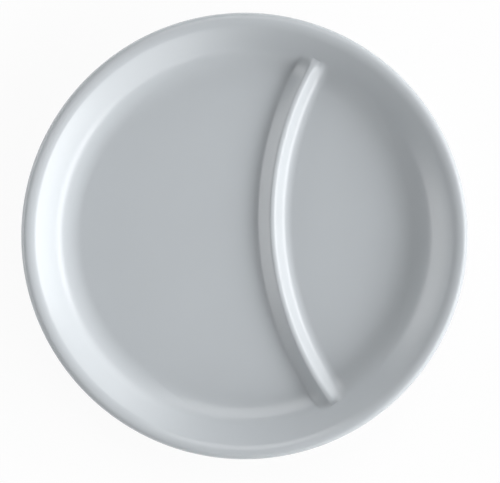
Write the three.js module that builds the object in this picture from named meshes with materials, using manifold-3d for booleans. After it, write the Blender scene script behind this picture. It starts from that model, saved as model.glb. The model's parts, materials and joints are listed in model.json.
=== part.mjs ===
// Insulated divided plate: a glossy food shell with a curved divider, bonded at the rim to a
// base shell, with rigid foam between the two. Millimetres, +Z up. The origin is the centre of
// the circle that the plate stands on, and +X points at the smaller compartment.

import * as THREE from "three";
import { mergeVertices } from "three/addons/utils/BufferGeometryUtils.js";
import Module from "manifold-3d";

const wasm = await Module();
wasm.setup();

// Plate: its outline, the well that holds the food, and the walls
const PLATE_RADIUS = 130;
const WELL_DEPTH = 16.35;
const WELL_SLOPE = 44.5; // degrees between the floor and the well's side, where the side is steepest
const WELL_FILLET = 20.8; // radius where the floor turns up into the side
const RIM_SLOPE = 38; // slope of the crowned side where it meets the rim's roll
const RIM_INNER_ROLL = 8.4; // radius from the well's side to the top of the rim
const RIM_OUTER_ROLL = 3.8; // radius from the top of the rim to its edge
const SHELL_WALL = 2.8;
const FOAM_DEPTH = 9.85; // foam under the well's floor
const SEAT_GAP = 0.3; // clearance between pieces that seat on each other

// Divider: a hollow ridge that follows an arc across the well
const DIVIDER_ARC_RADIUS = 184;
const DIVIDER_OFFSET = 15.9; // crest from the plate's centre, where the two are nearest
const DIVIDER_HEIGHT = 6.3;
const DIVIDER_SLOPE = 40;
const DIVIDER_CREST = 4; // radius over the top
const DIVIDER_FILLET = 9; // radius at the foot of each side
const HOLLOW_CREST = 0.6; // least radius at the top of the hollow inside

// Rim joint: a half-lap, with a seal under the food shell's tongue
const RIM_SKIRT = 4; // straight edge of the food shell below its roll
const LAP_DEPTH = 3;
const SEAL_HEIGHT = 1.2;
const LEDGE_DEPTH = 0.7; // straight wall of the base shell below the seal's ledge

// Base shell
const BASE_SHOULDER = 10; // radius under the rim
const BASE_SLOPE = 50;
const BASE_FILLET = 12; // radius round the underside

// Foot: a soft ring held between two moulded ribs
const FOOT_HEIGHT = 3; // underside of the base shell above the table
const FOOT_INSET = 24; // ring's middle from the edge of the flat underside
const FOOT_WIDTH = 3.8;
const FOOT_PROUD = 0.8; // how far the ring stands below its ribs
const FOOT_CHAMFER = 0.5;
const FOOT_RIB = 1.9;

// Foam ports in the underside, closed by snap plugs
const FILL_PORT_RADIUS = 8;
const VENT_PORT_RADIUS = 4;
const VENT_INSET = 24; // vent's middle from the middle of the foot ring
const PLUG_LIP = 3.6; // flange beyond the port
const PLUG_FLANGE = 1.1;
const PLUG_BARB = 0.6;
const PLUG_REACH = 3; // barb above the base shell's inner face
const PLUG_WALL = 1.6;

// Facets
const TURN_STEPS = 56;
const DIVIDER_STEPS = 96;
const PLUG_STEPS = 20;
const ARC_STEP = 19; // most degrees in one chord of an outline's arc
const LEAST_CHORDS = 2; // fewest chords in an outline's arc

// Heights, from the table up
const underside = FOOT_HEIGHT;
const baseFloor = underside + SHELL_WALL;
const wellFloor = baseFloor + FOAM_DEPTH + SHELL_WALL;
const rimTop = wellFloor + WELL_DEPTH;
const seam = rimTop - RIM_OUTER_ROLL - RIM_SKIRT;
const tongueEnd = seam - LAP_DEPTH;
const sealLedge = tongueEnd - SEAL_HEIGHT - 2 * SEAT_GAP;
const shoulderTop = sealLedge - LEDGE_DEPTH;

// The half-lap parts the wall down its middle
const lapInside = PLATE_RADIUS - (SHELL_WALL + SEAT_GAP) / 2;
const lapOutside = lapInside + SEAT_GAP;

const sine = (degrees) => Math.sin(THREE.MathUtils.degToRad(degrees));
const cosine = (degrees) => Math.cos(THREE.MathUtils.degToRad(degrees));

// Length of a straight slope that climbs a height between two tangent arcs
function slopeLength(height, slope, arcRadii) {
  return (height - arcRadii * (1 - cosine(slope))) / sine(slope);
}

const rimRadius = PLATE_RADIUS - RIM_OUTER_ROLL; // circle along the top of the rim
const filletRise = WELL_FILLET * (1 - cosine(WELL_SLOPE));
const rollRise = RIM_INNER_ROLL * (1 - cosine(RIM_SLOPE));
const crownRadius = (WELL_DEPTH - filletRise - rollRise) / (cosine(RIM_SLOPE) - cosine(WELL_SLOPE));
const crownCentre = [
  rimRadius + (crownRadius - RIM_INNER_ROLL) * sine(RIM_SLOPE),
  rimTop - RIM_INNER_ROLL - (crownRadius - RIM_INNER_ROLL) * cosine(RIM_SLOPE),
];
const wellFloorRadius = crownCentre[0] - (crownRadius + WELL_FILLET) * sine(WELL_SLOPE);

const baseSide =
  (shoulderTop - underside - BASE_FILLET * (1 - cosine(BASE_SLOPE)) - BASE_SHOULDER * cosine(BASE_SLOPE)) /
  sine(BASE_SLOPE);
const undersideRadius =
  PLATE_RADIUS -
  BASE_SHOULDER * (1 - sine(BASE_SLOPE)) -
  baseSide * cosine(BASE_SLOPE) -
  BASE_FILLET * sine(BASE_SLOPE);

const footRadius = undersideRadius - FOOT_INSET;
const footInside = footRadius - FOOT_WIDTH / 2;
const footOutside = footRadius + FOOT_WIDTH / 2;

// Points of an arc, from one angle to another in degrees
function arc([x, y], radius, from, to) {
  const steps = Math.max(LEAST_CHORDS, Math.ceil(Math.abs(to - from) / ARC_STEP));
  return Array.from({ length: steps + 1 }, (_, i) => {
    const angle = from + ((to - from) * i) / steps;
    return [x + radius * cosine(angle), y + radius * sine(angle)];
  });
}

// Closed solid from a geometry whose shared vertices aren't merged yet
function solid(geometry) {
  geometry.deleteAttribute("normal");
  geometry.deleteAttribute("uv");
  const merged = mergeVertices(geometry);
  const corners = merged.index.array;
  const triVerts = [];
  for (let i = 0; i < corners.length; i += 3) {
    const [a, b, c] = corners.slice(i, i + 3);
    if (a !== b && b !== c && c !== a) triVerts.push(a, b, c);
  }
  return new wasm.Manifold(
    new wasm.Mesh({
      numProp: 3,
      vertProperties: Float32Array.from(merged.attributes.position.array),
      triVerts: Uint32Array.from(triVerts),
    }),
  );
}

// Solid of revolution about a vertical axis, from an outline of [radius, height] points
function revolve(outline, { steps = TURN_STEPS, x = 0 } = {}) {
  const points = outline.map(([radius, height]) => new THREE.Vector2(radius, height));
  if (THREE.ShapeUtils.area(points) < 0) points.reverse();
  if (points[0].x > 0) points.push(points[0].clone());
  const geometry = new THREE.LatheGeometry(points, steps);
  return solid(geometry.rotateX(Math.PI / 2).translate(x, 0, 0));
}

function ring(inside, outside, bottom, top) {
  return revolve([
    [inside, bottom],
    [outside, bottom],
    [outside, top],
    [inside, top],
  ]);
}

function disc(radius, bottom, top, place) {
  return revolve(
    [
      [0, bottom],
      [radius, bottom],
      [radius, top],
      [0, top],
    ],
    place,
  );
}

// Everything under the food side of the plate, with that side moved inwards by an offset
function underWell(offset) {
  return revolve([
    [0, underside],
    [PLATE_RADIUS - offset, underside],
    ...arc([rimRadius, rimTop - RIM_OUTER_ROLL], RIM_OUTER_ROLL - offset, 0, 90),
    ...arc([rimRadius, rimTop - RIM_INNER_ROLL], RIM_INNER_ROLL - offset, 90, 90 + RIM_SLOPE).slice(1),
    ...arc(crownCentre, crownRadius - offset, 90 + RIM_SLOPE, 90 + WELL_SLOPE).slice(1),
    ...arc([wellFloorRadius, wellFloor + WELL_FILLET], WELL_FILLET + offset, WELL_SLOPE - 90, -90).slice(1),
    [0, wellFloor - offset],
  ]);
}

// The divider's ridge as far out as the rim's top, with its surface moved inwards by an offset
function underDivider(offset) {
  const arcs = DIVIDER_CREST + DIVIDER_FILLET;
  const side = slopeLength(DIVIDER_HEIGHT, DIVIDER_SLOPE, arcs);
  const halfWidth = arcs * sine(DIVIDER_SLOPE) + side * cosine(DIVIDER_SLOPE);
  const crestRadius = Math.max(DIVIDER_CREST - offset, HOLLOW_CREST);
  const crestDrop = (crestRadius - DIVIDER_CREST + offset) / cosine(DIVIDER_SLOPE);
  const crest = [DIVIDER_ARC_RADIUS, wellFloor + DIVIDER_HEIGHT - DIVIDER_CREST - crestDrop];
  const footHeight = wellFloor + DIVIDER_FILLET;
  const innerFoot = [DIVIDER_ARC_RADIUS - halfWidth, footHeight];
  const outerFoot = [DIVIDER_ARC_RADIUS + halfWidth, footHeight];
  const footRadii = DIVIDER_FILLET + offset;
  const ridge = revolve(
    [
      [innerFoot[0], underside],
      [outerFoot[0], underside],
      ...arc(outerFoot, footRadii, -90, -90 - DIVIDER_SLOPE),
      ...arc(crest, crestRadius, 90 - DIVIDER_SLOPE, 90 + DIVIDER_SLOPE),
      ...arc(innerFoot, footRadii, DIVIDER_SLOPE - 90, -90),
    ],
    { steps: DIVIDER_STEPS, x: DIVIDER_OFFSET + DIVIDER_ARC_RADIUS },
  );
  return ridge.intersect(disc(rimRadius, underside, rimTop));
}

function underFood(offset) {
  return underWell(offset).add(underDivider(offset));
}

// Everything above the base shell's outer face, with that face moved inwards by an offset
function aboveBase(offset, top) {
  return revolve([
    [0, underside + offset],
    ...arc([undersideRadius, underside + BASE_FILLET], BASE_FILLET - offset, -90, BASE_SLOPE - 90),
    ...arc([PLATE_RADIUS - BASE_SHOULDER, shoulderTop], BASE_SHOULDER - offset, BASE_SLOPE - 90, 0),
    [PLATE_RADIUS - offset, top],
    [0, top],
  ]);
}

// Ports: where each one is and how wide its hole is
const ports = {
  fill: { radius: FILL_PORT_RADIUS, place: { steps: PLUG_STEPS, x: 0 } },
  vent: { radius: VENT_PORT_RADIUS, place: { steps: PLUG_STEPS, x: VENT_INSET - footRadius } },
};
const barbStart = baseFloor + SEAT_GAP;
const plugTop = barbStart + PLUG_REACH;

function portCut({ radius, place }) {
  const hole = disc(radius, underside - SHELL_WALL, baseFloor + SHELL_WALL, place);
  const recess = radius + PLUG_LIP + SEAT_GAP;
  return hole.add(disc(recess, underside - SHELL_WALL, underside + PLUG_FLANGE + SEAT_GAP, place));
}

function foamPocket({ radius, place }) {
  return disc(radius + PLUG_BARB + SEAT_GAP, underside, plugTop + SEAT_GAP, place);
}

// Hollow snap plug: a flange in the port's recess, a stem and a tapered barb above the wall
function plug({ radius, place }) {
  const stem = radius - SEAT_GAP;
  const bore = radius - PLUG_WALL;
  const flangeTop = underside + PLUG_FLANGE;
  return revolve(
    [
      [0, underside],
      [radius + PLUG_LIP, underside],
      [radius + PLUG_LIP, flangeTop],
      [stem, flangeTop],
      [stem, barbStart],
      [radius + PLUG_BARB, barbStart],
      [stem, plugTop],
      [bore, plugTop],
      [bore, flangeTop],
      [0, flangeTop],
    ],
    place,
  );
}

// Food shell: one wall thick all over, hollow under the divider, with the tongue of the half-lap
function foodShell() {
  const pastRim = PLATE_RADIUS + SHELL_WALL;
  const belowSkirt = ring(lapInside, pastRim, underside - SHELL_WALL, seam);
  const belowTongue = ring(PLATE_RADIUS - 2 * SHELL_WALL, pastRim, underside - SHELL_WALL, tongueEnd);
  return underFood(0).subtract(underFood(SHELL_WALL)).subtract(belowSkirt).subtract(belowTongue);
}

// Base shell: the outer half of the lap, the ledge for the seal, the foot's ribs and the ports
function baseShell() {
  const wall = aboveBase(0, seam - SEAT_GAP).subtract(aboveBase(SHELL_WALL, rimTop));
  const rebate = disc(lapOutside, sealLedge, rimTop);
  const ribRoot = underside + SHELL_WALL / 2;
  const innerRib = footInside - SEAT_GAP;
  const outerRib = footOutside + SEAT_GAP;
  return wall
    .subtract(rebate)
    .add(ring(innerRib - FOOT_RIB, innerRib, FOOT_PROUD, ribRoot))
    .add(ring(outerRib, outerRib + FOOT_RIB, FOOT_PROUD, ribRoot))
    .subtract(portCut(ports.fill))
    .subtract(portCut(ports.vent));
}

// Foam core: fills the space between the shells, divider included, and clears the plugs
function foamCore() {
  const inset = SHELL_WALL + SEAT_GAP;
  return underFood(inset)
    .intersect(aboveBase(inset, rimTop))
    .subtract(foamPocket(ports.fill))
    .subtract(foamPocket(ports.vent));
}

function rimSeal() {
  const bottom = sealLedge + SEAT_GAP;
  return ring(PLATE_RADIUS - SHELL_WALL, lapInside, bottom, bottom + SEAL_HEIGHT);
}

function footRing() {
  return revolve([
    [footInside + FOOT_CHAMFER, 0],
    [footOutside - FOOT_CHAMFER, 0],
    [footOutside, FOOT_CHAMFER],
    [footOutside, underside - SEAT_GAP],
    [footInside, underside - SEAT_GAP],
    [footInside, FOOT_CHAMFER],
  ]);
}

const materials = {
  foodGloss: new THREE.MeshStandardMaterial({ color: 0xb6bbbf, roughness: 0.18, metalness: 0 }),
  baseSatin: new THREE.MeshStandardMaterial({ color: 0xaab0b5, roughness: 0.4, metalness: 0 }),
  foam: new THREE.MeshStandardMaterial({ color: 0xe3d7b4, roughness: 0.9, metalness: 0 }),
  seal: new THREE.MeshStandardMaterial({ color: 0x8a9095, roughness: 0.7, metalness: 0 }),
  rubber: new THREE.MeshStandardMaterial({ color: 0x6d7276, roughness: 0.85, metalness: 0 }),
};

function mesh(name, body, material) {
  const { vertProperties, triVerts } = body.getMesh();
  const geometry = new THREE.BufferGeometry();
  geometry.setAttribute("position", new THREE.BufferAttribute(vertProperties, 3));
  geometry.setIndex(new THREE.BufferAttribute(triVerts, 1));
  geometry.computeVertexNormals();
  const piece = new THREE.Mesh(geometry, material);
  piece.name = name;
  return piece;
}

const plate = new THREE.Group();
plate.add(
  mesh("food_shell", foodShell(), materials.foodGloss),
  mesh("base_shell", baseShell(), materials.baseSatin),
  mesh("foam_core", foamCore(), materials.foam),
  mesh("rim_seal", rimSeal(), materials.seal),
  mesh("foot_ring", footRing(), materials.rubber),
  mesh("fill_plug", plug(ports.fill), materials.baseSatin),
  mesh("vent_plug", plug(ports.vent), materials.baseSatin),
);

export default plate;
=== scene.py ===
"""Insulated divided plate: finished pieces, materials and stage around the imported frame.

Metres, +Z up. The origin is the centre of the circle that the plate stands on, and +X points
at the smaller compartment.
"""

import json
import math
from types import SimpleNamespace
from typing import NamedTuple

import bpy
from bpy.props import FloatProperty, FloatVectorProperty, IntProperty, PointerProperty
from mathutils import Matrix, Vector


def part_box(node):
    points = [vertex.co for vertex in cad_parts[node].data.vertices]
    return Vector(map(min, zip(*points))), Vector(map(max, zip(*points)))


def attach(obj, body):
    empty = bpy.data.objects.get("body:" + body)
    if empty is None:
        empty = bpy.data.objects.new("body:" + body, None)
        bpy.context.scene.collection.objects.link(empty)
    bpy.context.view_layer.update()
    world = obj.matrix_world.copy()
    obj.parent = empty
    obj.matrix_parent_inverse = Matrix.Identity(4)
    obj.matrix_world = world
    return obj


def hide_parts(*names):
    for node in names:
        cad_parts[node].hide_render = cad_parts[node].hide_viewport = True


bl_info = {
    "name": "Divided Plate Finish",
    "version": (1, 0, 0),
    "blender": (4, 5, 0),
    "location": "3D View > Sidebar > Plate",
    "description": "Builds the finished pieces of an insulated divided plate around its frame",
    "category": "Object",
}

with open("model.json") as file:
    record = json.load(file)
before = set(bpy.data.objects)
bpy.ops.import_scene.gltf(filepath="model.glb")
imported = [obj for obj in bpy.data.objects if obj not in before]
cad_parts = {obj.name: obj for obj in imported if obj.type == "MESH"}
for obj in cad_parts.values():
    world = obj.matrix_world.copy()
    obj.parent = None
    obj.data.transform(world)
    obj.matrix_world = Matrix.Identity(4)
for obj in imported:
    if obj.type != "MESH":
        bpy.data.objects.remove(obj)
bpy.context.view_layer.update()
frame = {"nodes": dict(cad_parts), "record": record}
MOUNTS = {mount["name"]: mount["pos_m"] for mount in frame["record"]["mounts"]}
_, FOOD_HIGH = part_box("food_shell")
BASE_LOW, BASE_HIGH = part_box("base_shell")
_, FOOT_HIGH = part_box("foot_ring")
FILL_LOW, FILL_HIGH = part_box("fill_plug")
VENT_LOW, VENT_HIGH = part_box("vent_plug")

BODY = "root"
MM = 0.001
IMAGE_WIDTH = 500
IMAGE_HEIGHT = 483
SENSOR_WIDTH = 36.0
CLIP_START = 0.01

# Widest circle of the rim, below its top
EDGE_DROP = 4 * MM

# Food side grid: each share is how far along the rings a stretch of the surface ends
CREST_SHARE = 0.06
FLANK_SHARE = 0.11
FOOT_SHARE = 0.17
STRIP_SHARE = 0.20
FLOOR_SHARE = 0.32
WELL_SHARE = 0.62
ROLL_SHARE = 0.74
EDGE_SHARE = 0.88
SKIRT_SHARE = 0.91
ROUND_SHARE = 0.92
SEAM_SHARE = 0.93
LAP_SHARE = 0.95
TONGUE_SHARE = 0.98
# Way from the divider to the rim's roll that the loops have gone where the flat floor ends
FLOOR_SPAN = 0.74
# Stretch of a loop's side that runs along the divider, before the cap round its end
RUN_SHARE = 0.92
# Depth of that cap for its half width
CAP_DEPTH = 0.3
# Power by which the divider holds its height as it rides up the well's side
END_HOLD = 1.6
# Cut of a rounded corner at its middle, for its radius
ROUND_CUT = 0.3

WELD = 0.002 * MM
SMOOTH_LIMIT = math.radians(32)
ARC_STEP = math.radians(7)
HOLD_LENGTH = 0.6 * MM
DRILL_STEPS = 72

# Finishes: cells above the limit hold a speck, and hairlines lie in sparse patches at these turns
SPECK_LIMIT = 0.9
HAIR_TURNS = (0.3, 1.5, 2.6)
HAIR_STRETCH = (1.0, 0.03, 1.0)
HAIR_PATCH_SCALE = 40.0
FOOT_GRAIN = 3200.0
SEAL_GRAIN = 4000.0
FLOOR_GLOW = 0.93


def length(name, description, default):
    """A size in metres that a user may change."""
    return FloatProperty(name=name, description=description, default=default, precision=5, unit="LENGTH")


def number(name, description, default):
    """A plain number that a user may change."""
    return FloatProperty(name=name, description=description, default=default)


def whole_number(name, description, default):
    """A count that a user may change."""
    return IntProperty(name=name, description=description, default=default)


def angle(name, description, degrees):
    """An angle that a user may change."""
    default = math.radians(degrees)
    return FloatProperty(name=name, description=description, default=default, subtype="ANGLE")


def linear(level):
    """Linear light of one sRGB level from 0 to 255."""
    share = level / 255
    return share / 12.92 if share <= 0.04045 else ((share + 0.055) / 1.055) ** 2.4


def colour(name, description, *levels):
    """A colour that a user may change, from sRGB levels."""
    default = [linear(level) for level in levels]
    return FloatVectorProperty(
        name=name, description=description, default=default, subtype="COLOR", min=0, max=1
    )


class FoodShellSizes(bpy.types.PropertyGroup):
    """Sizes of the glossy upper shell."""

    plate_radius: length("Plate Radius", "Centre to the edge of the rim", FOOD_HIGH.x)
    rim_top: length("Rim Top", "Top of the rim above the table", FOOD_HIGH.z)
    well_floor: length("Well Floor", "Floor of the wells above the table", MOUNTS["main_floor"][2])
    well_slope: angle("Well Slope", "Steepest slope of the well's side, at the top of its fillet", 44.5)
    rim_slope: angle("Rim Slope", "Slope of the crowned side where it meets the rim's roll", 38)
    well_fillet: length("Well Fillet", "Radius where the floor turns up into the side", 20.8 * MM)
    inner_roll: length("Inner Roll", "Radius from the well's side to the top of the rim", 8.4 * MM)
    outer_roll: length("Outer Roll", "Radius from the top of the rim to its edge", 3.8 * MM)
    shell_wall: length("Shell Wall", "Thickness of the shell", 2.8 * MM)
    rim_skirt: length("Rim Skirt", "Straight edge below the outer roll", 4 * MM)
    skirt_round: length("Skirt Round", "Rounding of the skirt's lower edge", 0.35 * MM)
    lap_step: length("Lap Step", "Tongue of the half-lap in from the skirt", 1.55 * MM)
    lap_depth: length("Lap Depth", "Tongue of the half-lap below the skirt", 3 * MM)
    divider_arc: length("Divider Arc", "Radius of the arc that the divider follows", 184 * MM)
    divider_offset: length("Divider Offset", "Crest from the plate's centre", 15.9 * MM)
    divider_height: length("Divider Height", "Crest above the floor", 6.3 * MM)
    divider_slope: angle("Divider Slope", "Between the divider's sides and the floor", 40)
    divider_crest: length("Divider Crest", "Radius over the top of the divider", 4 * MM)
    divider_fillet: length("Divider Fillet", "Radius at the foot beside the smaller compartment", 9 * MM)
    divider_foot: length("Divider Foot", "Radius at the foot beside the larger compartment", 3 * MM)
    divider_edge: length("Divider Edge", "Radius of the crest beside the larger compartment", 1.6 * MM)
    hollow_crest: length("Hollow Crest", "Least radius at the top of the hollow inside", 0.6 * MM)
    divider_reach: length("Divider Reach", "Plate's centre to where the crest runs out", 113 * MM)
    divider_strip: length("Divider Strip", "Half width of the grid along the divider", 14.5 * MM)
    end_blend: length("End Blend", "Softness where the divider runs out up the side", 0.7 * MM)
    loop_steps: whole_number("Loop Steps", "Points round each loop", 401)
    ring_steps: whole_number("Ring Steps", "Loops from crest to tongue", 101)


class BaseShellSizes(bpy.types.PropertyGroup):
    """Sizes of the lower shell with its foot ribs and foam ports."""

    edge_radius: length("Edge Radius", "Centre to the edge of the shell", BASE_HIGH.x)
    top: length("Top", "Upper edge above the table", BASE_HIGH.z)
    underside: length("Underside", "Flat underside above the table", FILL_LOW.z)
    shell_wall: length("Shell Wall", "Thickness of the shell", 2.8 * MM)
    shoulder_top: length("Shoulder Top", "Where the straight edge ends, above the table", 21.5 * MM)
    shoulder: length("Shoulder", "Radius under the straight edge", 10 * MM)
    slope: angle("Slope", "Between the side and the table", 50)
    fillet: length("Fillet", "Radius round the underside", 12 * MM)
    ledge: length("Ledge", "Seat of the rim seal above the table", 22.2 * MM)
    lap_radius: length("Lap Radius", "Inside of the half-lap", 128.75 * MM)
    rib_bottom: length("Rib Bottom", "Lower edge of the foot ribs above the table", BASE_LOW.z)
    rib_width: length("Rib Width", "Width of each foot rib", 1.9 * MM)
    seat_gap: length("Seat Gap", "Clearance between seated pieces", 0.3 * MM)
    edge_round: length("Edge Round", "Rounding of the outer edges", 0.5 * MM)
    port_radius: length("Fill Port", "Radius of the fill port", 8 * MM)
    vent_radius: length("Vent Port", "Radius of the vent port", 4 * MM)
    recess_depth: length("Recess Depth", "Depth of the recess for a plug's flange", 1.4 * MM)
    turn_steps: whole_number("Turn Steps", "Steps round the shell", 192)


class FootRingSizes(bpy.types.PropertyGroup):
    """Sizes of the soft ring that the plate stands on."""

    outside: length("Outside", "Outer radius of the ring", FOOT_HIGH.x)
    middle: length("Middle", "Radius along the middle of the ring", MOUNTS["foot"][0])
    top: length("Top", "Top of the ring above the table", FOOT_HIGH.z)
    corner: length("Corner", "Rounding of the ring's lower edges", 0.5 * MM)
    groove_place: length("Groove Place", "Grip groove from the middle of the ring", 0.55 * MM)
    groove_width: length("Groove Width", "Width of a grip groove", 0.5 * MM)
    groove_depth: length("Groove Depth", "Depth of a grip groove", 0.35 * MM)
    turn_steps: whole_number("Turn Steps", "Steps round the ring", 160)


class PlugSizes(bpy.types.PropertyGroup):
    """Sizes that the two port plugs share."""

    lip: length("Lip", "Flange beyond the port", 3.6 * MM)
    flange: length("Flange", "Thickness of the flange", 1.1 * MM)
    barb: length("Barb", "Barb beyond the port", 0.6 * MM)
    wall: length("Wall", "Thickness of the stem", 1.6 * MM)
    seat_gap: length("Seat Gap", "Clearance between the stem and the port", 0.3 * MM)
    dish: length("Dish", "Depth of the shallow dish in the flange", 0.25 * MM)
    edge_round: length("Edge Round", "Rounding of the flange's edge", 0.4 * MM)
    turn_steps: whole_number("Turn Steps", "Steps round a plug", 72)


class FinishColours(bpy.types.PropertyGroup):
    """Colours of the finishes."""

    food: colour("Food Shell", "Glossy pale blue-grey of the food shell", 190, 195, 199)
    base: colour("Base Shell", "Satin blue-grey of the base shell", 168, 174, 179)
    foot: colour("Foot Ring", "Grey of the soft foot ring", 109, 114, 118)
    seal: colour("Rim Seal", "Grey of the rim seal", 138, 144, 149)
    foam: colour("Foam Core", "Cream of the rigid foam", 227, 215, 180)


class StageSettings(bpy.types.PropertyGroup):
    """Floor, lamps and camera."""

    camera_height: length("Camera Height", "Camera above the rim", 0.9)
    camera_roll: angle("Camera Roll", "Turn of the camera about its view", -3)
    plate_pixels: number("Plate Pixels", "Radius of the plate in the image", 223.2)
    centre_x: number("Centre X", "Plate's centre from the left, pixels", 244.5)
    centre_y: number("Centre Y", "Plate's centre from the top, pixels", 236.0)
    floor_reach: length("Floor Reach", "Half the width of the pale floor", 6.0)
    floor_colour: colour("Floor", "Colour of the pale floor", 245, 245, 245)
    fill_strength: number("Fill", "Strength of the light from all round", 0.01)


class PlateSettings(bpy.types.PropertyGroup):
    """All that a user may change."""

    food: PointerProperty(type=FoodShellSizes)
    base: PointerProperty(type=BaseShellSizes)
    foot: PointerProperty(type=FootRingSizes)
    plug: PointerProperty(type=PlugSizes)
    finish: PointerProperty(type=FinishColours)
    stage: PointerProperty(type=StageSettings)


def size_props(group):
    """The group's own properties, without Blender's."""
    return [prop for prop in group.bl_rna.properties if prop.identifier not in ("rna_type", "name")]


class Field:
    """One output in a node tree. Arithmetic on it adds Math nodes to that tree."""

    def __init__(self, tree, socket):
        self.tree = tree
        self.socket = socket

    def math(self, operation, *values):
        return Field(self.tree, add_math(self.tree, operation, self, *values))

    def __add__(self, other):
        return self.math("ADD", other)

    def __sub__(self, other):
        return self.math("SUBTRACT", other)

    def __rsub__(self, other):
        return Field(self.tree, add_math(self.tree, "SUBTRACT", other, self))

    def __mul__(self, other):
        return self.math("MULTIPLY", other)

    def __truediv__(self, other):
        return self.math("DIVIDE", other)

    __radd__ = __add__
    __rmul__ = __mul__

    def over(self, limit):
        return self.math("GREATER_THAN", limit)

    def under(self, limit):
        return self.math("LESS_THAN", limit)

    def sine(self):
        return self.math("SINE")

    def cosine(self):
        return self.math("COSINE")

    def root(self):
        return self.math("SQRT")

    def at_least(self, other):
        return self.math("MAXIMUM", other)

    def at_most(self, other):
        return self.math("MINIMUM", other)

    def choose(self, when_one, when_zero):
        """One field where this one is 1, and another where it is 0."""
        mix = self.tree.nodes.new("ShaderNodeMix")
        for index, value in ((0, self), (2, when_zero), (3, when_one)):
            feed(self.tree, mix.inputs[index], value)
        return Field(self.tree, mix.outputs[0])

    def ramp(self, *stops):
        """Piecewise straight line through stops of (place, value)."""
        total = stops[0][1]
        for (start, low), (end, high) in zip(stops, stops[1:]):
            limits = {"From Min": start, "From Max": end, "To Min": 0.0, "To Max": high - low}
            span = add_node(self.tree, "ShaderNodeMapRange", {"Value": self, **limits})
            total = Field(self.tree, span.outputs[0]) + total
        return total


def feed(tree, socket, value):
    """Links a field to a socket, or sets the socket to a plain value."""
    if isinstance(value, Field):
        tree.links.new(value.socket, socket)
    else:
        socket.default_value = value


def add_math(tree, operation, *values):
    """Output of a new Math node."""
    node = tree.nodes.new("ShaderNodeMath")
    node.operation = operation
    for socket, value in zip(node.inputs, values):
        feed(tree, socket, value)
    return node.outputs[0]


def add_node(tree, kind, inputs=None, **settings):
    """New node with its settings and inputs."""
    node = tree.nodes.new(kind)
    for name, value in settings.items():
        setattr(node, name, value)
    for name, value in (inputs or {}).items():
        feed(tree, node.inputs[name], value)
    return node


def out(node, name=0):
    """Field of a node's output."""
    return Field(node.id_data, node.outputs[name])


SOCKETS = {"FLOAT": "NodeSocketFloat", "INT": "NodeSocketInt"}


def size_tree(name, group, *extras):
    """Geometry tree with a named input for each size of a group, and its inputs as fields."""
    tree = bpy.data.node_groups.new(name, "GeometryNodeTree")
    tree.is_modifier = True
    tree.interface.new_socket("Geometry", in_out="OUTPUT", socket_type="NodeSocketGeometry")
    tree.interface.new_socket("Outline", in_out="INPUT", socket_type="NodeSocketGeometry")
    tree.interface.new_socket("Finish", in_out="INPUT", socket_type="NodeSocketMaterial")
    props = size_props(group)
    for prop in props:
        tree.interface.new_socket(prop.name, in_out="INPUT", socket_type=SOCKETS[prop.type])
    for extra in extras:
        tree.interface.new_socket(extra, in_out="INPUT", socket_type="NodeSocketFloat")
    entry = tree.nodes.new("NodeGroupInput")
    size = SimpleNamespace(**{prop.identifier: out(entry, prop.name) for prop in props})
    size.outline = out(entry, "Outline")
    size.finish = out(entry, "Finish")
    for extra in extras:
        setattr(size, extra.lower().replace(" ", "_"), out(entry, extra))
    return tree, size


def unit_grid(tree, across, along):
    """Flat grid, with the share of the way across and along it at each point."""
    sizes = {"Size X": 1.0, "Size Y": 1.0, "Vertices X": across, "Vertices Y": along}
    grid = add_node(tree, "GeometryNodeMeshGrid", sizes)
    place = add_node(tree, "ShaderNodeSeparateXYZ", {0: out(add_node(tree, "GeometryNodeInputPosition"))})
    return out(grid), out(place, 0) + 0.5, out(place, 1) + 0.5


def shape(tree, surface, x, y, z):
    """Surface with its points moved to new places, and its seams and poles closed."""
    place = add_node(tree, "ShaderNodeCombineXYZ", {0: x, 1: y, 2: z})
    moved = add_node(tree, "GeometryNodeSetPosition", {"Geometry": surface, "Position": out(place)})
    return weld(tree, out(moved))


def weld(tree, surface):
    """Surface with points that lie on one another merged."""
    return out(add_node(tree, "GeometryNodeMergeByDistance", {"Geometry": surface, "Distance": WELD}))


def finish_tree(tree, surface, finish):
    """Shades the surface, with sharp edges where it turns hard, sets its material and ends the tree."""
    smooth = add_node(tree, "GeometryNodeSetShadeSmooth", {"Geometry": surface})
    turn = out(add_node(tree, "GeometryNodeInputMeshEdgeAngle"))
    sharp = {"Geometry": out(smooth), "Selection": turn.over(SMOOTH_LIMIT), "Shade Smooth": False}
    edges = add_node(tree, "GeometryNodeSetShadeSmooth", sharp, domain="EDGE")
    real = add_node(tree, "GeometryNodeRealizeInstances", {"Geometry": out(edges)})
    dressed = add_node(tree, "GeometryNodeSetMaterial", {"Geometry": out(real), "Material": finish})
    end_tree(tree, out(dressed))


def end_tree(tree, surface):
    """Puts a surface out of a geometry tree."""
    end = tree.nodes.new("NodeGroupOutput")
    feed(tree, end.inputs["Geometry"], surface)


def slope_length(height, slope, arcs):
    """Length of a straight slope that climbs a height between two tangent arcs."""
    return (height - arcs * (1 - slope.cosine())) / slope.sine()


def crown_radius(size):
    """Radius of the well's crowned side, which climbs from the fillet to the rim's roll."""
    steep = size.well_slope.cosine()
    gentle = size.rim_slope.cosine()
    climb = size.rim_top - size.well_floor
    climb = climb - size.well_fillet * (1 - steep) - size.inner_roll * (1 - gentle)
    return climb / (gentle - steep)


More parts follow.
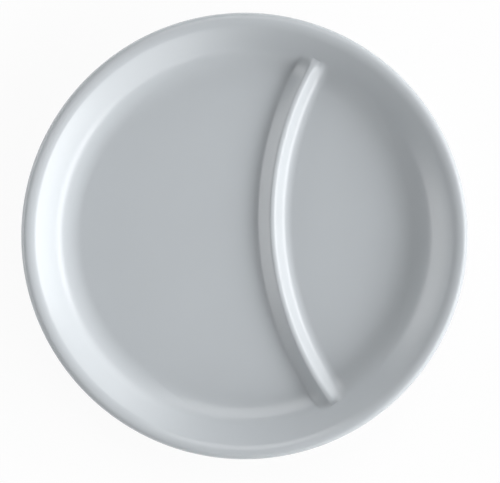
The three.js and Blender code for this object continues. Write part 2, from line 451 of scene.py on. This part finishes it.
def well_height(size, offset, radius):
    """Height of the well's surface at a distance from the plate's axis."""
    steep = size.well_slope
    gentle = size.rim_slope
    crown = crown_radius(size)
    side_top = size.plate_radius - size.outer_roll - size.inner_roll * gentle.sine()
    crown_centre = side_top + crown * gentle.sine()
    floor_radius = crown_centre - (crown + size.well_fillet) * steep.sine()
    bend = size.well_fillet + offset
    run = (radius - floor_radius).at_least(0.0)
    fillet_centre = size.well_floor + size.well_fillet
    fillet = fillet_centre - (bend * bend - run * run).root()
    bow = crown - offset
    reach = crown_centre - radius
    crown_height = fillet_centre - (crown + size.well_fillet) * steep.cosine()
    side = crown_height + (bow * bow - reach * reach).root()
    return run.over(bend * steep.sine()).choose(side, fillet)


def divider_half_width(size, crest, fillet):
    """Crest line to the floor, on the side with these radii at its crest and foot."""
    arcs = crest + fillet
    side = slope_length(size.divider_height, size.divider_slope, arcs)
    return arcs * size.divider_slope.sine() + side * size.divider_slope.cosine()


def divider_height(size, offset, distance, crest, fillet):
    """Height of the divider's surface at a distance from its crest line, by its radii on that side."""
    slope = size.divider_slope
    bow = (crest - offset).at_least(size.hollow_crest)
    drop = (bow - crest + offset) / slope.cosine()
    crest_centre = size.well_floor + size.divider_height - crest - drop
    top = crest_centre + (bow * bow - distance * distance).root()
    flank = crest_centre + bow / slope.cosine() - distance * slope.math("TANGENT")
    bend = fillet + offset
    run = (divider_half_width(size, crest, fillet) - distance).at_least(0.0)
    foot = size.well_floor + fillet - (bend * bend - run * run).root()
    upper = distance.over(bow * slope.sine()).choose(flank, top)
    return run.over(bend * slope.sine()).choose(upper, foot)


def crest_edge(size, offset):
    """Radius of the crest beside the larger compartment, which is tighter on the food side alone."""
    return offset.over(0.0).choose(size.divider_crest, size.divider_edge)


def in_well(size, offset, x, y):
    """Height in the well. The divider rides up the well's side and thins out until the side is as high."""
    arc = size.divider_arc
    to_centre = arc + size.divider_offset - x
    from_arc = (to_centre * to_centre + y * y).root()
    on_left = from_arc.over(arc)
    crest = on_left.choose(crest_edge(size, offset), size.divider_crest)
    fillet = on_left.choose(size.divider_foot, size.divider_fillet)
    divider = divider_height(size, offset, (from_arc - arc).math("ABSOLUTE"), crest, fillet)
    well = well_height(size, offset, (x * x + y * y).root())
    floor = size.well_floor - offset
    climb = ((well - floor) / size.divider_height).at_least(0.0)
    share = 1.0 - climb.math("POWER", END_HOLD)
    share = share.math("SMOOTH_MAX", 0.0, size.end_blend / size.divider_height)
    return well + (divider - floor) * share


def over_rim(size, offset, ring):
    """Radius and height of the loops over the rim, down the skirt and round the half-lap's tongue."""
    quarter = math.pi / 2
    roll_turn = ring.ramp(
        (WELL_SHARE, size.rim_slope + quarter), (ROLL_SHARE, quarter), (EDGE_SHARE, 0.0)
    )
    roll = ring.over(ROLL_SHARE).choose(size.outer_roll, size.inner_roll)
    skirt = size.rim_skirt
    corner = size.skirt_round
    step = ring.ramp(
        (SKIRT_SHARE, 0.0),
        (ROUND_SHARE, corner * ROUND_CUT),
        (SEAM_SHARE, corner),
        (LAP_SHARE, size.lap_step),
        (TONGUE_SHARE, size.lap_step),
        (1.0, size.shell_wall),
    )
    drop = ring.ramp(
        (EDGE_SHARE, 0.0),
        (SKIRT_SHARE, skirt - corner),
        (ROUND_SHARE, skirt - corner * ROUND_CUT),
        (SEAM_SHARE, skirt),
        (LAP_SHARE, skirt),
        (TONGUE_SHARE, skirt + size.lap_depth),
    )
    rim_radius = size.plate_radius - size.outer_roll
    radius = rim_radius + roll_turn.cosine() * (roll - offset) - (step - offset).at_least(0.0)
    height = size.rim_top - roll + roll_turn.sine() * (roll - offset) - drop
    return radius, height


def food_side_tree():
    """One face of the food shell, moved inwards by an offset: loops that start as the divider's
    crest line, widen along its sides, and turn into the circles of the well's side and rim."""
    tree, size = size_tree("Food Side", FoodShellSizes, "Offset")
    offset = size.offset
    surface, loop, ring = unit_grid(tree, size.loop_steps, size.ring_steps)

    # Way round the loop: up one side of the divider and down the other, -1 to 1 from end to end
    right = loop.over(0.5)
    side = right * 2.0 - 1.0
    sweep = (loop * 4.0 - right * 2.0 - 1.0) * side * -1.0
    straight = sweep.at_least(-RUN_SHARE).at_most(RUN_SHARE) / RUN_SHARE
    cap_turn = (sweep.math("ABSOLUTE") - RUN_SHARE).at_least(0.0) * (math.pi / 2 / (1 - RUN_SHARE))

    # Ends of the divider, as angles about its own arc's centre and about the plate's axis
    arc = size.divider_arc
    centre = arc + size.divider_offset
    reach = size.divider_reach
    end_swing = ((arc * arc + centre * centre - reach * reach) / (arc * centre * 2.0)).math("ARCCOSINE")
    end_turn = ((centre * centre + reach * reach - arc * arc) / (centre * reach * 2.0)).math("ARCCOSINE")

    def of_side(on_right, on_left):
        """A radius of the loop's own side, which turns into the mean of both round the ends."""
        own = right.choose(on_right, on_left)
        return own + ((on_right + on_left) / 2.0 - own) * cap_turn.sine()

    # Along the divider, from its crest line to the edge of the strip beside it
    crest = of_side(size.divider_crest, crest_edge(size, offset))
    fillet = of_side(size.divider_fillet, size.divider_foot)
    half_width = divider_half_width(size, crest, fillet)
    distance = ring.ramp(
        (0.0, 0.0),
        (CREST_SHARE, crest * size.divider_slope.sine()),
        (FLANK_SHARE, half_width - fillet * size.divider_slope.sine()),
        (FOOT_SHARE, half_width),
        (STRIP_SHARE, size.divider_strip),
    )
    cap = sweep.math("SIGN") * cap_turn.sine() * distance * CAP_DEPTH
    swing = straight * end_swing + cap / arc
    across = arc - side * cap_turn.cosine() * distance
    strip_x = centre - across * swing.cosine()
    strip_y = across * swing.sine()

    # Out to the circle where the well's side meets the rim's roll
    turn = right.choose(sweep * end_turn, math.pi - sweep * (math.pi - end_turn))
    side_top = size.plate_radius - size.outer_roll - (size.inner_roll - offset) * size.rim_slope.sine()
    spread = ring.ramp((STRIP_SHARE, 0.0), (FLOOR_SHARE, FLOOR_SPAN), (WELL_SHARE, 1.0))
    well_x = strip_x + (turn.cosine() * side_top - strip_x) * spread
    well_y = strip_y + (turn.sine() * side_top - strip_y) * spread

    # Well and rim together
    on_rim = ring.over(WELL_SHARE)
    rim_radius, rim_z = over_rim(size, offset, ring)
    x = on_rim.choose(turn.cosine() * rim_radius, well_x)
    y = on_rim.choose(turn.sine() * rim_radius, well_y)
    z = on_rim.choose(rim_z, in_well(size, offset, well_x, well_y))
    end_tree(tree, shape(tree, surface, x, y, z))
    return tree


def food_shell_tree():
    """The food shell: its food side and, one wall below, its foam side, joined at the tongue."""
    tree, size = size_tree("Food Shell", FoodShellSizes)
    side_tree = food_side_tree()
    faces = []
    for offset in (0.0, size.shell_wall):
        side = add_node(tree, "GeometryNodeGroup", node_tree=side_tree)
        for prop in size_props(FoodShellSizes):
            feed(tree, side.inputs[prop.name], getattr(size, prop.identifier))
        feed(tree, side.inputs["Offset"], offset)
        faces.append(out(side))
    foam_face = out(add_node(tree, "GeometryNodeFlipFaces", {"Mesh": faces[1]}))
    shell = add_node(tree, "GeometryNodeJoinGeometry")
    for face in (faces[0], foam_face):
        feed(tree, shell.inputs["Geometry"], face)
    finish_tree(tree, weld(tree, out(shell)), size.finish)
    return tree


def turned_face(tree, outline, steps, centre_x):
    """Closed outline in the XZ plane, turned about an upright axis."""
    count = out(add_node(tree, "GeometryNodeAttributeDomainSize", {"Geometry": outline}), "Point Count")
    surface, loop, ring = unit_grid(tree, steps + 1.0, count + 1.0)
    index = (ring * count).math("ROUND").math("MODULO", count)
    point = add_node(
        tree, "GeometryNodeSampleIndex", {"Geometry": outline, "Index": index}, data_type="FLOAT_VECTOR"
    )
    feed(tree, point.inputs["Value"], out(add_node(tree, "GeometryNodeInputPosition")))
    place = add_node(tree, "ShaderNodeSeparateXYZ", {0: out(point)})
    turn = loop * math.tau
    x = turn.cosine() * out(place, 0) + centre_x
    y = turn.sine() * out(place, 0)
    turned = shape(tree, surface, x, y, out(place, 2))
    bare = out(add_node(tree, "GeometryNodeInputMeshEdgeNeighbors")).under(0.5)
    loose = {"Geometry": turned, "Selection": bare}
    return out(add_node(tree, "GeometryNodeDeleteGeometry", loose, domain="EDGE", mode="EDGE_FACE"))


def turned_tree(name, group):
    """A piece that is one outline turned about an upright axis."""
    tree, size = size_tree(name, group, "Centre X")
    finish_tree(tree, turned_face(tree, size.outline, size.turn_steps, size.centre_x), size.finish)
    return tree


def base_shell_tree():
    """The base shell: its turned outline, with the vent port and its recess cut through."""
    tree, size = size_tree("Base Shell", BaseShellSizes, "Centre X", "Vent X")
    shell = turned_face(tree, size.outline, size.turn_steps, size.centre_x)
    recess_top = size.underside + size.recess_depth
    flange = (VENT_HIGH.x - VENT_LOW.x) / 2
    cuts = add_node(
        tree, "GeometryNodeMeshBoolean", {"Mesh 1": shell}, operation="DIFFERENCE", solver="MANIFOLD"
    )
    for radius, top in ((size.vent_radius, size.underside * 3.0), (size.seat_gap + flange, recess_top)):
        sizes = {"Vertices": DRILL_STEPS, "Radius": radius, "Depth": size.underside * 2.0}
        drill = add_node(tree, "GeometryNodeMeshCylinder", sizes)
        place = add_node(
            tree, "ShaderNodeCombineXYZ", {0: size.vent_x, 1: 0.0, 2: top - size.underside}
        )
        moved = add_node(tree, "GeometryNodeSetPosition", {"Geometry": out(drill), "Offset": out(place)})
        feed(tree, cuts.inputs["Mesh 2"], out(moved))
    finish_tree(tree, out(cuts), size.finish)
    return tree


def rounded(corners):
    """Points of a closed outline through corners of (radius, height, rounding)."""
    points = []
    for before, corner, after in zip(corners[-1:] + corners[:-1], corners, corners[1:] + corners[:1]):
        place = Vector(corner[:2])
        back = (Vector(before[:2]) - place).normalized()
        ahead = (Vector(after[:2]) - place).normalized()
        turn = math.pi - back.angle(ahead)
        if not corner[2] or turn < ARC_STEP:
            points.append(place)
            continue
        hand = math.copysign(1, ahead.cross(back))
        start = place + back * corner[2] * math.tan(turn / 2)
        centre = place + (back + ahead).normalized() * corner[2] / math.cos(turn / 2)
        steps = math.ceil(turn / ARC_STEP)
        for step in range(steps + 1):
            points.append(centre + Matrix.Rotation(hand * turn * step / steps, 2) @ (start - centre))
    return points


def outline_mesh(name, corners):
    """Mesh of an outline's points in the XZ plane, with a point near each end of a long straight."""
    points = rounded(corners)
    held = []
    for point, after in zip(points, points[1:] + points[:1]):
        way = after - point
        held.append(point)
        if way.length > 4 * HOLD_LENGTH:
            held.append(point + way.normalized() * HOLD_LENGTH)
            held.append(after - way.normalized() * HOLD_LENGTH)
    mesh = bpy.data.meshes.new(name)
    mesh.from_pydata([(radius, 0, height) for radius, height in held], [], [])
    return mesh


def grow(tree, values, finish, outline=None):
    """Runs a geometry tree and returns what it makes as a plain mesh."""
    seed = bpy.data.objects.new(tree.name, outline or bpy.data.meshes.new(tree.name))
    bpy.context.scene.collection.objects.link(seed)
    modifier = seed.modifiers.new(tree.name, "NODES")
    modifier.node_group = tree
    values = {**values, "Finish": finish}
    for item in tree.interface.items_tree:
        if item.in_out == "INPUT" and item.name in values:
            modifier[item.identifier] = values[item.name]
    graph = bpy.context.evaluated_depsgraph_get()
    mesh = bpy.data.meshes.new_from_object(seed.evaluated_get(graph))
    mesh.materials.clear()
    mesh.materials.append(finish)
    bpy.data.objects.remove(seed)
    if not mesh.polygons:
        raise RuntimeError(f"{tree.name} made no faces")
    return mesh


def size_values(settings):
    """Named tree inputs from a group of sizes."""
    return {prop.name: getattr(settings, prop.identifier) for prop in size_props(type(settings))}


def place_piece(name, node, mesh):
    """Puts a finished mesh in the scene in place of a CAD node."""
    piece = bpy.data.objects.new(name, mesh)
    bpy.context.scene.collection.objects.link(piece)
    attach(piece, BODY)
    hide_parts(node)


def base_corners(size):
    """Corners of the base shell's outline, from the fill port round the outside to the inside."""
    rise = size.shoulder * math.tan((math.pi / 2 - size.slope) / 2)
    knee = size.shoulder_top - rise
    heel = size.edge_radius - (knee - size.underside) / math.tan(size.slope)
    wall = size.shell_wall
    inside = size.edge_radius - wall
    inner_knee = knee + wall * math.tan((math.pi / 2 - size.slope) / 2)
    inner_heel = heel - wall * math.tan(size.slope / 2)
    floor = size.underside + wall
    gap = size.seat_gap
    foot_half = FOOT_HIGH.x - MOUNTS["foot"][0]
    rib_in = MOUNTS["foot"][0] - foot_half - gap
    rib_out = FOOT_HIGH.x + gap
    small = size.edge_round
    recess = FILL_HIGH.x + gap
    return [
        (recess, size.underside, small / 2),
        (rib_in - size.rib_width, size.underside, small),
        (rib_in - size.rib_width, size.rib_bottom, small),
        (rib_in, size.rib_bottom, small / 2),
        (rib_in, size.underside, 0),
        (rib_out, size.underside, 0),
        (rib_out, size.rib_bottom, small / 2),
        (rib_out + size.rib_width, size.rib_bottom, small),
        (rib_out + size.rib_width, size.underside, small),
        (heel, size.underside, size.fillet),
        (size.edge_radius, knee, size.shoulder),
        (size.edge_radius, size.top, small / 2),
        (size.lap_radius, size.top, 0),
        (size.lap_radius, size.ledge, 0),
        (inside, size.ledge, 0),
        (inside, inner_knee, size.shoulder - wall),
        (inner_heel, floor, size.fillet - wall),
        (size.port_radius, floor, 0),
        (size.port_radius, size.underside + size.recess_depth, 0),
        (recess, size.underside + size.recess_depth, 0),
    ]


def foot_corners(size):
    """Corners of the foot ring's outline, with two grip grooves in its underside."""
    inside = 2 * size.middle - size.outside
    half = size.groove_width / 2
    tread = []
    for place in (size.middle - size.groove_place, size.middle + size.groove_place):
        tread += [
            (place - half, 0, half / 2),
            (place - half / 2, size.groove_depth, half / 3),
            (place + half / 2, size.groove_depth, half / 3),
            (place + half, 0, half / 2),
        ]
    return [
        (inside, 0, size.corner),
        *tread,
        (size.outside, 0, size.corner),
        (size.outside, size.top, 0),
        (inside, size.top, 0),
    ]


def plug_corners(size, low, high):
    """Corners of a snap plug's outline: dished flange, stem and tapered barb."""
    edge = (high.x - low.x) / 2
    port = edge - size.lip
    stem = port - size.seat_gap
    flange_top = low.z + size.flange
    barb_start = high.z - (high.z - low.z) / 2
    rim = edge - size.lip / 2
    return [
        (0, low.z + size.dish, 0),
        (rim - size.dish, low.z + size.dish, size.dish),
        (rim, low.z, size.dish),
        (edge, low.z, size.edge_round),
        (edge, flange_top, 0),
        (stem, flange_top, 0),
        (stem, barb_start, 0),
        (port + size.barb, barb_start, 0),
        (stem, high.z, 0),
        (port - size.wall, high.z, 0),
        (port - size.wall, flange_top, 0),
        (0, flange_top, 0),
    ]


def group_tree(name, inputs, outputs):
    """Shader node group with named inputs and outputs, and its inputs as fields."""
    tree = bpy.data.node_groups.new(name, "ShaderNodeTree")
    for label, kind in inputs.items():
        tree.interface.new_socket(label, in_out="INPUT", socket_type=kind)
    for label, kind in outputs.items():
        tree.interface.new_socket(label, in_out="OUTPUT", socket_type=kind)
    entry = tree.nodes.new("NodeGroupInput")
    return tree, {label: out(entry, label) for label in inputs}


def end_group(tree, **results):
    """Puts named results out of a shader group."""
    end = tree.nodes.new("NodeGroupOutput")
    for label, value in results.items():
        feed(tree, end.inputs[label], value)


def noise(tree, place, scale, detail=2.0):
    """Smooth noise from 0 to 1, with its features a size of about one over the scale."""
    node = add_node(tree, "ShaderNodeTexNoise", {"Vector": place, "Scale": scale, "Detail": detail})
    return out(node)


FLOAT = "NodeSocketFloat"
COLOUR = "NodeSocketColor"
VECTOR = "NodeSocketVector"


def ripple_group():
    """Faint unevenness of a moulded surface: slow waves and a finer peel."""
    inputs = {"Place": VECTOR, "Wave Scale": FLOAT, "Peel Scale": FLOAT, "Peel Share": FLOAT}
    tree, given = group_tree("Moulded Ripple", inputs, {"Height": FLOAT})
    wave = noise(tree, given["Place"], given["Wave Scale"], detail=1.0)
    peel = noise(tree, given["Place"], given["Peel Scale"], detail=2.0)
    end_group(tree, Height=wave + (peel - wave) * given["Peel Share"])


def mottle_group():
    """Colour that drifts a little from place to place, with sparse tiny specks."""
    sizes = ("Drift", "Drift Scale", "Speck Scale", "Speck Size", "Speck Depth")
    inputs = {"Place": VECTOR, "Colour": COLOUR, **dict.fromkeys(sizes, FLOAT)}
    tree, given = group_tree("Mottle and Specks", inputs, {"Colour": COLOUR})
    drift = noise(tree, given["Place"], given["Drift Scale"], detail=3.0) - 0.5
    cells = add_node(
        tree, "ShaderNodeTexVoronoi", {"Vector": given["Place"], "Scale": given["Speck Scale"]}
    )
    keep = add_node(tree, "ShaderNodeSeparateColor", {0: out(cells, "Color")})
    inside = given["Speck Size"].over(out(cells, "Distance"))
    speck = inside * out(keep, 0).over(SPECK_LIMIT) * out(keep, 1)
    level = 1.0 + drift * given["Drift"] - speck * given["Speck Depth"]
    tinted = add_node(tree, "ShaderNodeVectorMath", {0: given["Colour"]}, operation="SCALE")
    feed(tree, tinted.inputs["Scale"], level)
    end_group(tree, Colour=out(tinted))


def hairline_group():
    """Mask of fine straight scratches that lie every way."""
    inputs = {"Place": VECTOR, "Scale": FLOAT, "Thinness": FLOAT}
    tree, given = group_tree("Hairlines", inputs, {"Mask": FLOAT})
    total = None
    for turn in HAIR_TURNS:
        stretch = add_node(tree, "ShaderNodeMapping", {"Vector": given["Place"], "Scale": HAIR_STRETCH})
        stretch.inputs["Rotation"].default_value[2] = turn
        streak = noise(tree, out(stretch), given["Scale"], detail=1.0)
        patch = noise(tree, given["Place"], HAIR_PATCH_SCALE, detail=1.0)
        line = (1.0 - (streak - 0.5).math("ABSOLUTE") * given["Thinness"]).at_least(0.0)
        mask = line * (patch * 3.0 - 1.5).at_least(0.0)
        total = mask if total is None else total.at_least(mask)
    end_group(tree, Mask=total)


def make_effects():
    """Builds the shared effects once."""
    if "Moulded Ripple" not in bpy.data.node_groups:
        ripple_group()
        mottle_group()
        hairline_group()


def rgba(values):
    """Opaque colour."""
    return (*values, 1.0)


class PlateFinish:
    """A finish in the making: its material, tree, Principled shader and object coordinates."""

    def __init__(self, name):
        make_effects()
        self.material = bpy.data.materials.new(name)
        self.material.use_nodes = True
        self.tree = self.material.node_tree
        self.shader = self.tree.nodes["Principled BSDF"]
        self.place = out(add_node(self.tree, "ShaderNodeTexCoord"), "Object")

    def give(self, socket, value):
        """Links a field to one of the shader's sockets, or sets it to a plain value."""
        feed(self.tree, self.shader.inputs[socket], value)

    def effect(self, group, **values):
        """Output of a shared effect at the object coordinates."""
        inputs = {label.replace("_", " "): value for label, value in values.items()}
        inputs["Place"] = self.place
        return out(add_node(self.tree, "ShaderNodeGroup", inputs, node_tree=bpy.data.node_groups[group]))

    def tint(self, tone, **mottle):
        """Base colour that drifts a little and has specks."""
        self.give("Base Color", self.effect("Mottle and Specks", Colour=rgba(tone), **mottle))

    def wear(self, smooth, hairs, hair_scale, thinness, cloud, cloud_scale):
        """Roughness that hairlines and soft clouds raise from its smoothest value."""
        lines = self.effect("Hairlines", Scale=hair_scale, Thinness=thinness)
        haze = noise(self.tree, self.place, cloud_scale, detail=3.0)
        self.give("Roughness", lines * hairs + haze * cloud + smooth)

    def bump(self, height, depth):
        """Normal from a height over the surface."""
        node = add_node(self.tree, "ShaderNodeBump", {"Strength": 1.0, "Distance": depth, "Height": height})
        self.give("Normal", out(node))

    def ripple(self, depth, **waves):
        """Normal from the faint unevenness of a moulded surface."""
        self.bump(self.effect("Moulded Ripple", **waves), depth)


def glossy_shell(colours):
    """Glossy moulded face of the food shell."""
    gloss = PlateFinish("glossy_shell")
    gloss.tint(
        colours.food, Drift=0.05, Drift_Scale=22.0, Speck_Scale=70.0, Speck_Size=0.035, Speck_Depth=0.35
    )
    gloss.wear(smooth=0.13, hairs=0.03, hair_scale=900.0, thinness=60.0, cloud=0.04, cloud_scale=55.0)
    gloss.ripple(0.05 * MM, Wave_Scale=45.0, Peel_Scale=420.0, Peel_Share=0.12)
    gloss.give("IOR", 1.38)
    return gloss.material


def satin_plastic(name, colours):
    """Satin moulded face of the base shell and the plugs."""
    satin = PlateFinish(name)
    satin.tint(
        colours.base, Drift=0.07, Drift_Scale=30.0, Speck_Scale=80.0, Speck_Size=0.04, Speck_Depth=0.3
    )
    satin.wear(smooth=0.33, hairs=0.12, hair_scale=700.0, thinness=45.0, cloud=0.1, cloud_scale=70.0)
    satin.ripple(0.06 * MM, Wave_Scale=60.0, Peel_Scale=2600.0, Peel_Share=0.35)
    return satin.material


def soft_rubber(name, tone, grain):
    """Matte rubber with a fine grain."""
    rubber = PlateFinish(name)
    rubber.tint(tone, Drift=0.16, Drift_Scale=160.0, Speck_Scale=300.0, Speck_Size=0.1, Speck_Depth=0.15)
    rubber.give("Roughness", noise(rubber.tree, rubber.place, 400.0) * 0.2 + 0.6)
    rubber.ripple(0.08 * MM, Wave_Scale=300.0, Peel_Scale=grain, Peel_Share=0.7)
    return rubber.material


def rigid_foam(colours):
    """Poured foam with fine closed cells."""
    foam = PlateFinish("poured_foam")
    foam.tint(
        colours.foam, Drift=0.2, Drift_Scale=60.0, Speck_Scale=400.0, Speck_Size=0.2, Speck_Depth=0.3
    )
    foam.give("Roughness", 0.92)
    cells = add_node(foam.tree, "ShaderNodeTexVoronoi", {"Vector": foam.place, "Scale": 900.0})
    foam.bump(out(cells, "Distance"), 0.4 * MM)
    return foam.material


def settings_of(context):
    """The plate's settings in the scene."""
    return context.scene.divided_plate


class PLATE_OT_food_shell(bpy.types.Operator):
    """Build the glossy food shell with its rim, wells and divider"""

    bl_idname = "plate.food_shell"
    bl_label = "Food Shell"

    def execute(self, context):
        settings = settings_of(context)
        mesh = grow(food_shell_tree(), size_values(settings.food), glossy_shell(settings.finish))
        place_piece("food_shell_surface", "food_shell", mesh)
        return {"FINISHED"}


class PLATE_OT_base_shell(bpy.types.Operator):
    """Build the base shell with its foot ribs and foam ports"""

    bl_idname = "plate.base_shell"
    bl_label = "Base Shell"

    def execute(self, context):
        settings = settings_of(context)
        outline = outline_mesh("base_outline", base_corners(settings.base))
        values = {**size_values(settings.base), "Vent X": (VENT_LOW.x + VENT_HIGH.x) / 2}
        satin = satin_plastic("satin_shell", settings.finish)
        mesh = grow(base_shell_tree(), values, satin, outline)
        place_piece("base_shell_surface", "base_shell", mesh)
        return {"FINISHED"}


class PLATE_OT_foot_ring(bpy.types.Operator):
    """Build the soft ring that the plate stands on"""

    bl_idname = "plate.foot_ring"
    bl_label = "Foot Ring"

    def execute(self, context):
        settings = settings_of(context)
        outline = outline_mesh("foot_outline", foot_corners(settings.foot))
        rubber = soft_rubber("grip_rubber", settings.finish.foot, FOOT_GRAIN)
        mesh = grow(turned_tree("Foot Ring", FootRingSizes), size_values(settings.foot), rubber, outline)
        place_piece("foot_ring_surface", "foot_ring", mesh)
        return {"FINISHED"}


class PLATE_OT_port_plugs(bpy.types.Operator):
    """Build the snap plugs that close the two foam ports"""

    bl_idname = "plate.port_plugs"
    bl_label = "Port Plugs"

    def execute(self, context):
        settings = settings_of(context)
        tree = turned_tree("Port Plug", PlugSizes)
        satin = satin_plastic("satin_plug", settings.finish)
        for node, low, high in (("fill_plug", FILL_LOW, FILL_HIGH), ("vent_plug", VENT_LOW, VENT_HIGH)):
            outline = outline_mesh(node + "_outline", plug_corners(settings.plug, low, high))
            values = {**size_values(settings.plug), "Centre X": (low.x + high.x) / 2}
            place_piece(node + "_surface", node, grow(tree, values, satin, outline))
        return {"FINISHED"}


class PLATE_OT_sealed_pieces(bpy.types.Operator):
    """Give the foam core and the rim seal, which lie between the shells, their finishes"""

    bl_idname = "plate.sealed_pieces"
    bl_label = "Sealed Pieces"

    def execute(self, context):
        colours = settings_of(context).finish
        dressings = {
            "foam_core": rigid_foam(colours),
            "rim_seal": soft_rubber("gasket_rubber", colours.seal, SEAL_GRAIN),
        }
        for node, material in dressings.items():
            mesh = frame["nodes"][node].data
            mesh.materials.clear()
            mesh.materials.append(material)
        return {"FINISHED"}


def white_floor(stage):
    """Pale floor that the camera and reflections see as nearly white, with the shadow kept."""
    material = bpy.data.materials.new("pale_floor")
    material.use_nodes = True
    tree = material.node_tree
    tree.nodes.clear()
    path = add_node(tree, "ShaderNodeLightPath")
    seen = out(path, "Is Camera Ray").at_least(out(path, "Is Glossy Ray"))
    seen = seen.at_least(out(path, "Is Transmission Ray"))
    matte = add_node(tree, "ShaderNodeBsdfDiffuse", {"Color": rgba(stage.floor_colour)})
    glow = add_node(tree, "ShaderNodeEmission", {"Color": (1.0, 1.0, 1.0, 1.0), "Strength": 1.0})
    mix = add_node(tree, "ShaderNodeMixShader", {0: seen * FLOOR_GLOW})
    tree.links.new(matte.outputs[0], mix.inputs[1])
    tree.links.new(glow.outputs[0], mix.inputs[2])
    end = tree.nodes.new("ShaderNodeOutputMaterial")
    tree.links.new(mix.outputs[0], end.inputs["Surface"])
    return material


def add_floor(stage):
    """Square floor that the plate stands on."""
    mesh = bpy.data.meshes.new("floor")
    reach = stage.floor_reach
    corners = [(-reach, -reach, 0), (reach, -reach, 0), (reach, reach, 0), (-reach, reach, 0)]
    mesh.from_pydata(corners, [], [(0, 1, 2, 3)])
    mesh.materials.append(white_floor(stage))
    floor = bpy.data.objects.new("floor", mesh)
    bpy.context.scene.collection.objects.link(floor)


class SoftBox(NamedTuple):
    """A soft-edged glow in the sky, with its angles in degrees as seen from the plate."""

    bearing: float
    rise: float
    half_width: float
    half_height: float
    side_edge: float
    height_edge: float
    radiance: float


SOFT_BOXES = {
    "key": SoftBox(-12, 25, 31, 9, 10, 9, 5.5),
    "low_right": SoftBox(-12, 18, 73, 12, 18, 7, 3.6),
    "far_panel": SoftBox(88, 52, 28, 17, 8, 3, 3.1),
    "near_panel": SoftBox(275, 30, 25, 15, 12, 8, 0.4),
    "left_panel": SoftBox(170, 6, 28, 12, 14, 5, 4.1),
    "left_high": SoftBox(170, 22, 18, 8, 8, 8, 1.0),
}


def fade(away, reach, edge):
    """1 within a reach and 0 beyond it, over a soft edge, with the reach and edge in degrees."""
    span = add_node(
        away.tree,
        "ShaderNodeMapRange",
        {"Value": away, "From Min": math.radians(reach + edge), "From Max": math.radians(reach - edge)},
        interpolation_type="SMOOTHSTEP",
    )
    return out(span)


def add_world(stage):
    """Studio of soft boxes that the plate mirrors, behind a backdrop that the camera sees as white."""
    world = bpy.data.worlds.new("studio")
    world.use_nodes = True
    tree = world.node_tree
    way = add_node(tree, "ShaderNodeSeparateXYZ", {0: out(add_node(tree, "ShaderNodeTexCoord"), "Object")})
    bearing = out(way, 1).math("ARCTAN2", out(way, 0))
    rise = out(way, 2).math("ARCSINE")
    light = stage.fill_strength
    for box in SOFT_BOXES.values():
        aside = (bearing - math.radians(box.bearing)).math("WRAP", math.pi, -math.pi).math("ABSOLUTE")
        above = (rise - math.radians(box.rise)).math("ABSOLUTE")
        glow = fade(aside, box.half_width, box.side_edge) * fade(above, box.half_height, box.height_edge)
        light = glow * box.radiance + light
    seen = out(add_node(tree, "ShaderNodeLightPath"), "Is Camera Ray")
    background = tree.nodes["Background"]
    background.inputs["Color"].default_value = (1.0, 1.0, 1.0, 1.0)
    feed(tree, background.inputs["Strength"], seen.choose(1.0, light))
    bpy.context.scene.world = world


def add_camera(stage):
    """Camera straight above the plate, shifted to put it where the image has it."""
    data = bpy.data.cameras.new("camera")
    data.sensor_width = SENSOR_WIDTH
    data.clip_start = CLIP_START
    to_edge = stage.camera_height + EDGE_DROP
    data.lens = stage.plate_pixels * SENSOR_WIDTH * to_edge / (IMAGE_WIDTH * FOOD_HIGH.x)
    data.shift_x = (IMAGE_WIDTH / 2 - stage.centre_x) / IMAGE_WIDTH
    data.shift_y = (stage.centre_y - IMAGE_HEIGHT / 2) / IMAGE_WIDTH
    camera = bpy.data.objects.new("camera", data)
    camera.location = (0, 0, FOOD_HIGH.z + stage.camera_height)
    camera.rotation_euler = (0, 0, stage.camera_roll)
    bpy.context.scene.collection.objects.link(camera)
    bpy.context.scene.camera = camera


class PLATE_OT_stage(bpy.types.Operator):
    """Set up the floor, the lamps and the camera"""

    bl_idname = "plate.stage"
    bl_label = "Stage"

    def execute(self, context):
        stage = settings_of(context).stage
        add_floor(stage)
        add_world(stage)
        add_camera(stage)
        context.scene.view_settings.view_transform = "Standard"
        return {"FINISHED"}


class PLATE_PT_sidebar(bpy.types.Panel):
    """Sizes, colours and build steps of the plate"""

    bl_idname = "PLATE_PT_sidebar"
    bl_label = "Divided Plate"
    bl_space_type = "VIEW_3D"
    bl_region_type = "UI"
    bl_category = "Plate"

    def draw(self, context):
        settings = settings_of(context)
        for operator in OPERATORS:
            self.layout.operator(operator.bl_idname)
        for part in size_props(PlateSettings):
            group = getattr(settings, part.identifier)
            box = self.layout.box()
            for prop in size_props(type(group)):
                box.prop(group, prop.identifier)


GROUPS = (
    FoodShellSizes,
    BaseShellSizes,
    FootRingSizes,
    PlugSizes,
    FinishColours,
    StageSettings,
    PlateSettings,
)
OPERATORS = (
    PLATE_OT_food_shell,
    PLATE_OT_base_shell,
    PLATE_OT_foot_ring,
    PLATE_OT_port_plugs,
    PLATE_OT_sealed_pieces,
    PLATE_OT_stage,
)
CLASSES = (*GROUPS, *OPERATORS, PLATE_PT_sidebar)


def register():
    for made in CLASSES:
        bpy.utils.register_class(made)
    bpy.types.Scene.divided_plate = PointerProperty(type=PlateSettings)


def unregister():
    del bpy.types.Scene.divided_plate
    for made in reversed(CLASSES):
        bpy.utils.unregister_class(made)


def main():
    register()
    bpy.ops.plate.food_shell()
    bpy.ops.plate.base_shell()
    bpy.ops.plate.foot_ring()
    bpy.ops.plate.port_plugs()
    bpy.ops.plate.sealed_pieces()
    bpy.ops.plate.stage()


if __name__ == "__main__":
    main()
